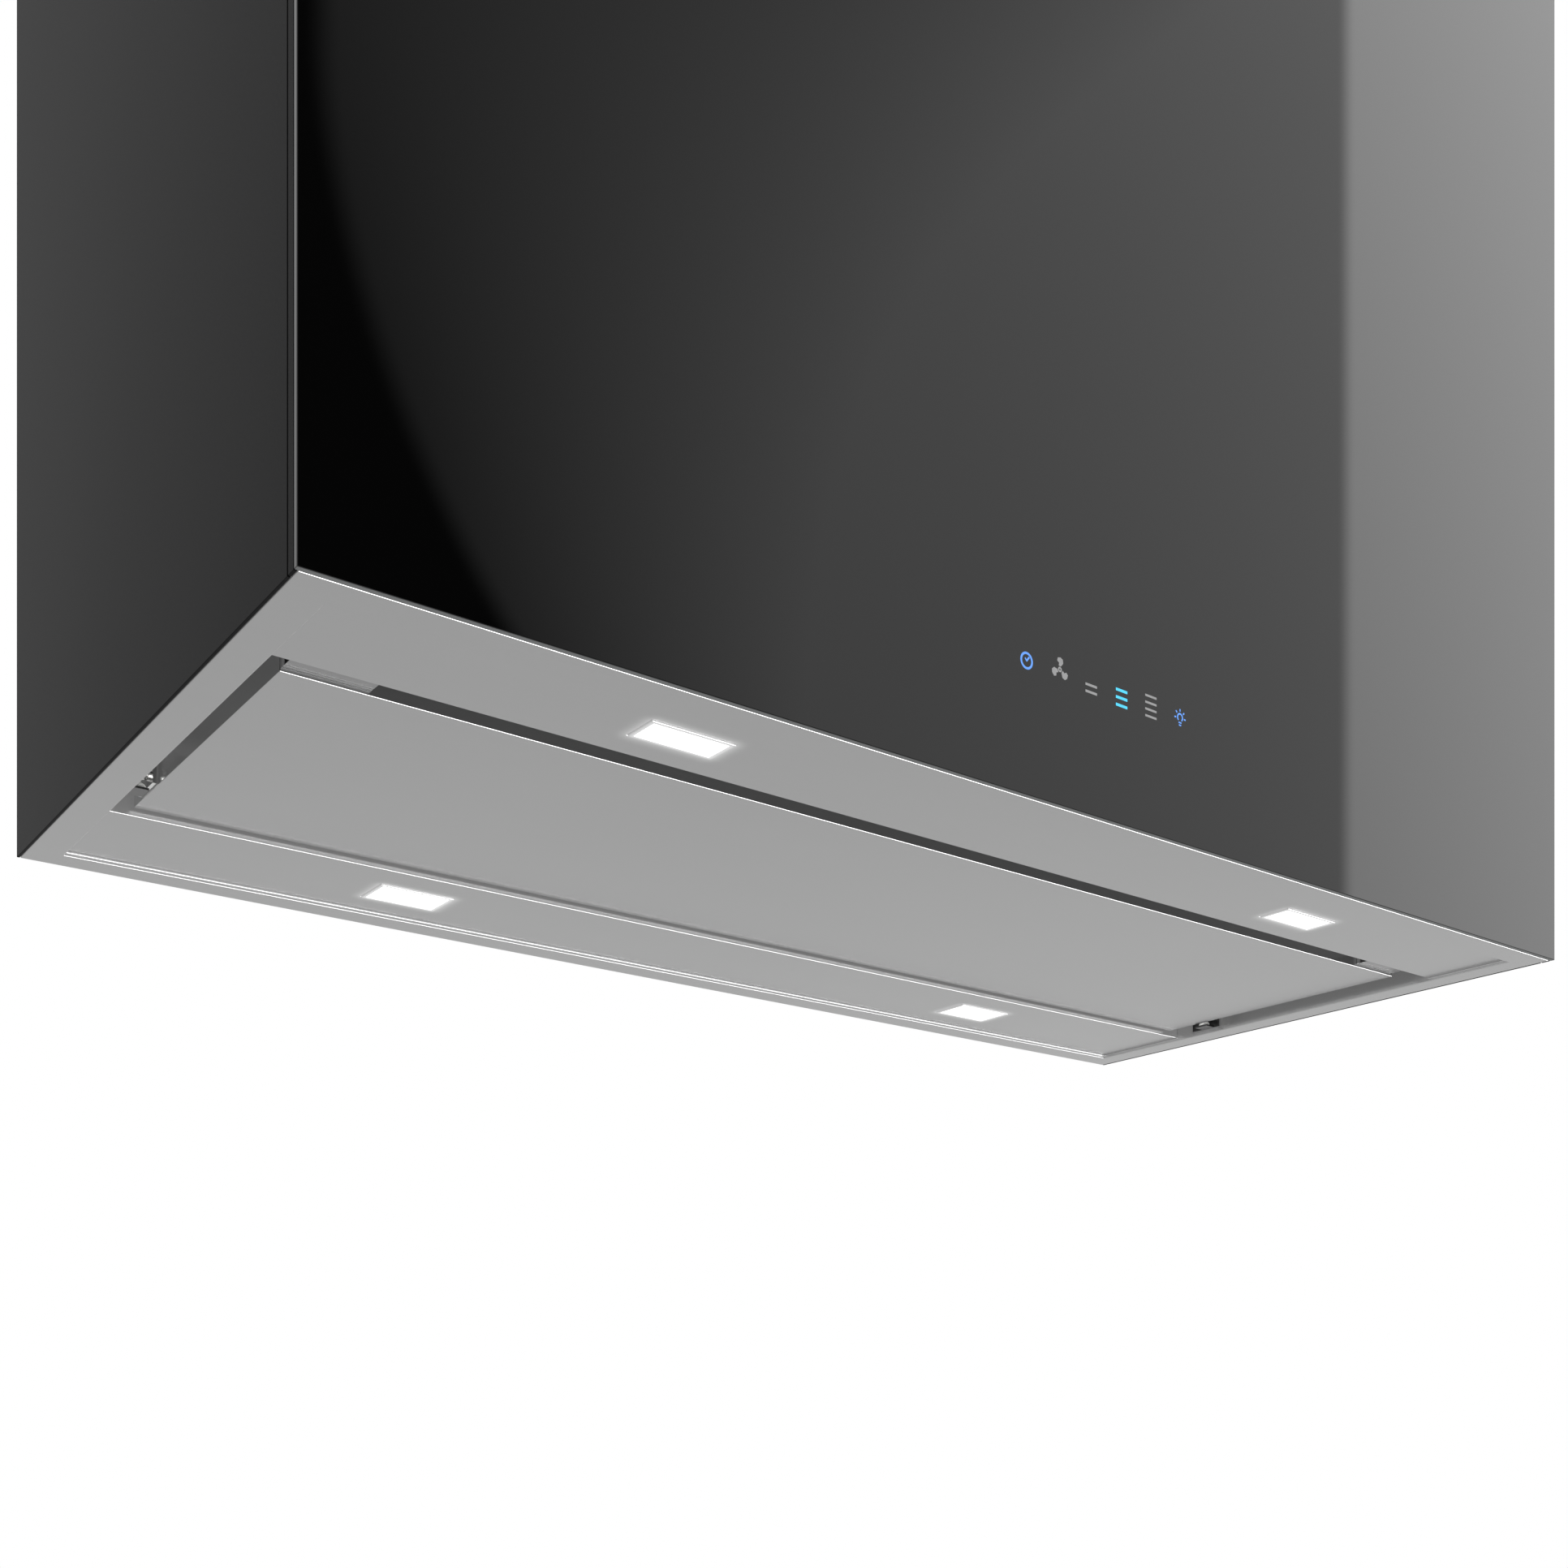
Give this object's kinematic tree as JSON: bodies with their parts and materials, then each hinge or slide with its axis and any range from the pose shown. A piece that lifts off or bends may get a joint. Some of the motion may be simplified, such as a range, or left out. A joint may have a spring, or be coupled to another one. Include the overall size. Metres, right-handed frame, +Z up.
{
  "type": "range hood",
  "caption": "Wall-hung box range hood: glass front, black steel sides, stainless underside with a hinged suction panel, filters, lamps, blower and duct collar.",
  "frame": {"origin": "middle of the wall rail's rear face, on the wall and on the centreline of the hood", "axes": "+X along the front from left to right as a cook sees it, +Y into the wall, +Z up"},
  "size_m": [0.9, 0.416, 0.8953],
  "materials": {
    "black_glass": "polished black back-painted glass",
    "black_paint": "satin black powder coat",
    "galvanised": "zinc-coated sheet",
    "stainless": "fine brushed stainless steel",
    "bright_steel": "bright turned steel",
    "black_plastic": "moulded black plastic",
    "grey_plastic": "moulded grey plastic",
    "motor_paint": "black enamelled steel shell",
    "aluminium": "satin",
    "filter_aluminium": "brushed baffle filter",
    "circuit_board": "green circuit board",
    "led_lens": "frosted lit lens"
  },
  "bodies": {
    "casing": {"front_glass": "black_glass", "front_carrier": "black_paint", "side_panel_left": "black_paint", "side_panel_right": "black_paint", "back_panel": "galvanised", "top_panel": "galvanised", "canopy_tray": "stainless", "hinge_bracket_left": "stainless", "hinge_bracket_right": "stainless", "hinge_pin_left": "bright_steel", "hinge_pin_right": "bright_steel", "hinge_dome_left": "bright_steel", "hinge_dome_right": "bright_steel", "magnet_left": "galvanised", "magnet_right": "galvanised", "filter_rail_front": "stainless", "filter_rail_rear": "stainless", "filter_side_plate_left": "stainless", "filter_side_plate_right": "stainless", "scroll_wrap": "galvanised", "scroll_side_left": "galvanised", "scroll_side_right": "galvanised", "motor": "motor_paint", "motor_bracket": "galvanised", "duct_collar": "galvanised", "damper_rod": "bright_steel", "touch_board": "circuit_board", "control_box": "black_plastic", "control_box_lid": "grey_plastic", "motor_capacitor": "aluminium", "cable_gland": "black_plastic", "wall_rail": "galvanised", "hang_bracket": "galvanised", "led_housing_front_left": "aluminium", "led_lens_front_left": "led_lens", "led_housing_front_right": "aluminium", "led_lens_front_right": "led_lens", "led_housing_rear_left": "aluminium", "led_lens_rear_left": "led_lens", "led_housing_rear_right": "aluminium", "led_lens_rear_right": "led_lens", "grease_filter_left": "filter_aluminium", "grease_filter_middle": "filter_aluminium", "grease_filter_right": "filter_aluminium", "collar_screw_1": "galvanised", "collar_screw_2": "galvanised", "collar_screw_3": "galvanised"},
    "panel": {"suction_panel": "stainless", "panel_backing": "galvanised", "panel_hinge_ear_left": "stainless", "panel_hinge_ear_right": "stainless", "magnet_strike_left": "galvanised", "magnet_strike_right": "galvanised"},
    "fan": {"impeller": "galvanised", "motor_shaft": "bright_steel"},
    "damper_front": {"damper_flap_front": "grey_plastic"},
    "damper_rear": {"damper_flap_rear": "grey_plastic"},
    "latch_left": {"filter_latch_left": "black_plastic"},
    "latch_middle": {"filter_latch_middle": "black_plastic"},
    "latch_right": {"filter_latch_right": "black_plastic"}
  },
  "joints": [
    {"name": "suction_panel_hinge", "type": "hinge", "parent": "casing", "child": "panel", "pos_m": [0, -0.1308, -0.76], "axis": [1, 0, 0], "range_deg": [0, 85]},
    {"name": "fan_spin", "type": "hinge", "parent": "casing", "child": "fan", "pos_m": [0, -0.218, -0.135], "axis": [1, 0, 0], "continuous": true},
    {"name": "damper_front_swing", "type": "hinge", "parent": "casing", "child": "damper_front", "pos_m": [0, -0.1355, 0.097], "axis": [-1, 0, 0], "range_deg": [0, 80]},
    {"name": "damper_rear_swing", "type": "hinge", "parent": "casing", "child": "damper_rear", "pos_m": [0, -0.1355, 0.097], "axis": [1, 0, 0], "range_deg": [0, 80]},
    {"name": "latch_left_slide", "type": "slide", "parent": "casing", "child": "latch_left", "axis": [0, 1, 0], "range_m": [0, 0.004], "stiffness_N_per_m": 400, "springref_m": -0.002},
    {"name": "latch_middle_slide", "type": "slide", "parent": "casing", "child": "latch_middle", "axis": [0, 1, 0], "range_m": [0, 0.004], "stiffness_N_per_m": 400, "springref_m": -0.002},
    {"name": "latch_right_slide", "type": "slide", "parent": "casing", "child": "latch_right", "axis": [0, 1, 0], "range_m": [0, 0.004], "stiffness_N_per_m": 400, "springref_m": -0.002}
  ]
}
